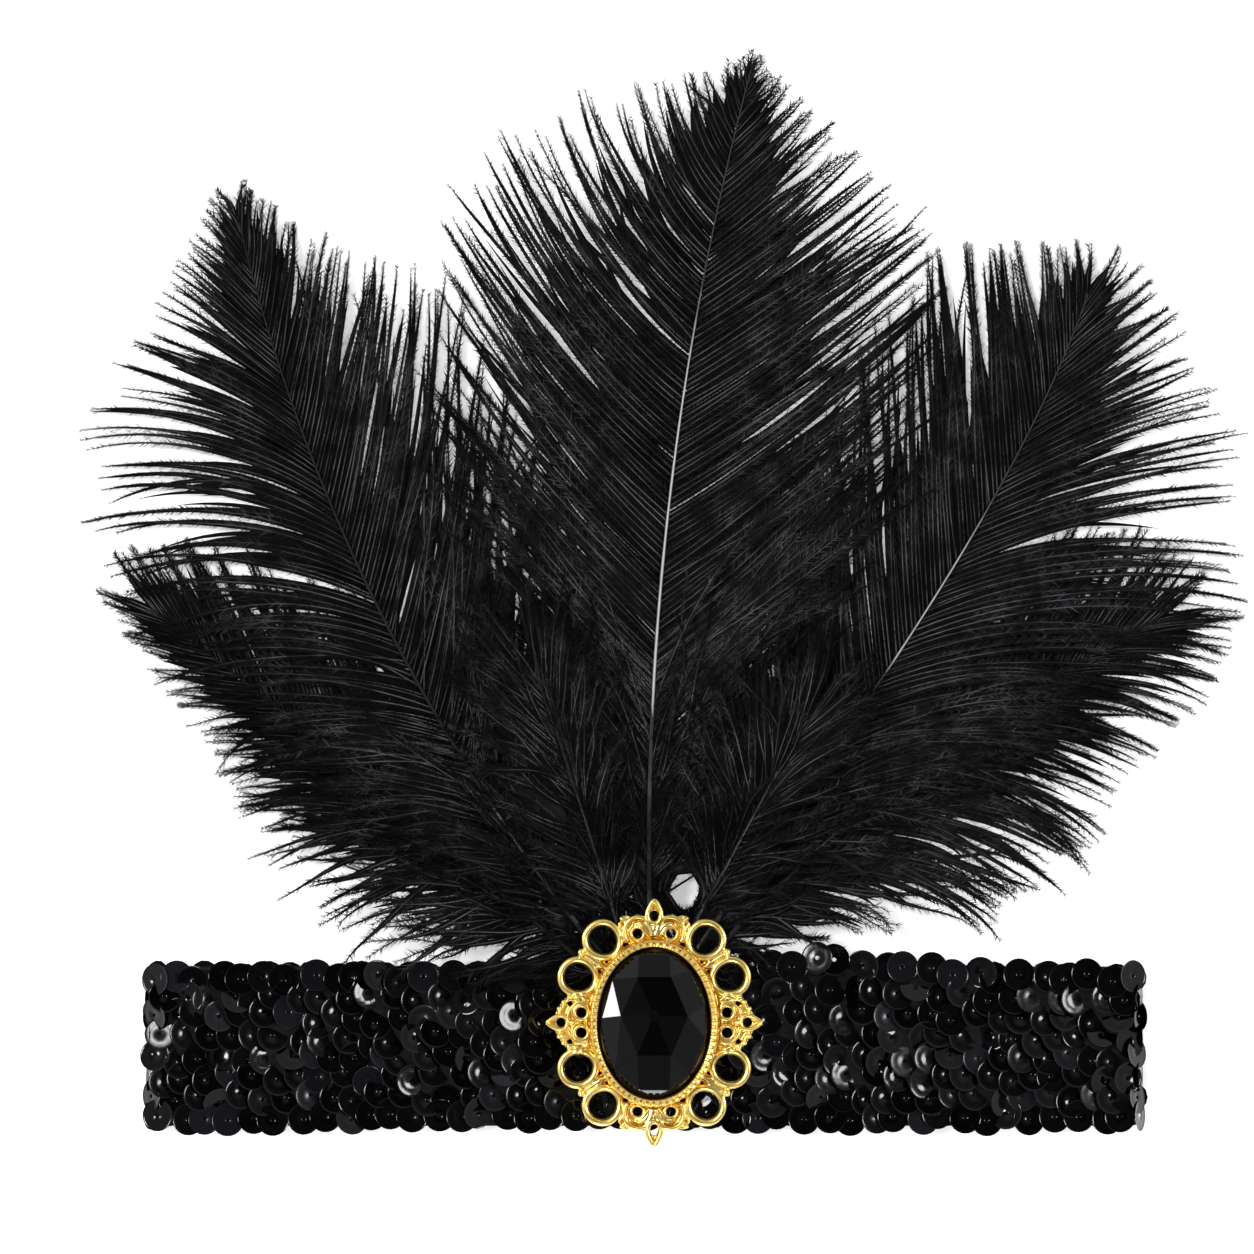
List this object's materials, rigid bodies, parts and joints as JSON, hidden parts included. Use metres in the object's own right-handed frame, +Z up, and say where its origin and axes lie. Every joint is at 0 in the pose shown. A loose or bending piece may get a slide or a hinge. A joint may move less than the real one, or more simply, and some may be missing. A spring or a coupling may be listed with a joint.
{
  "type": "flapper feather headband",
  "caption": "Folded sequin headband loop carrying an oval gold openwork brooch with a faceted black stone and a fan of black feather plumes",
  "frame": {"origin": "on the table side of the folded band, under the middle of its length and width", "axes": "+X along the folded band, +Y from the band towards the plume tips, +Z up out of the brooch"},
  "size_m": [0.2931, 0.2729, 0.0219],
  "materials": {
    "sequins": "glossy black cup sequins sewn on black elastic",
    "felt": "matt black felt with glue",
    "gold": "polished gold-coloured casting",
    "stone": "faceted glossy black acrylic",
    "feather": "dyed black ostrich feather with a soft sheen"
  },
  "bodies": {
    "root": {"band": "sequins", "backing_pad": "felt", "brooch_frame": "gold", "stone": "stone", "plume_lower_left": "feather", "plume_lower_right": "feather", "plume_left": "feather", "plume_right": "feather", "plume_center": "feather", "tuft_left": "feather", "tuft_right": "feather"}
  },
  "joints": []
}
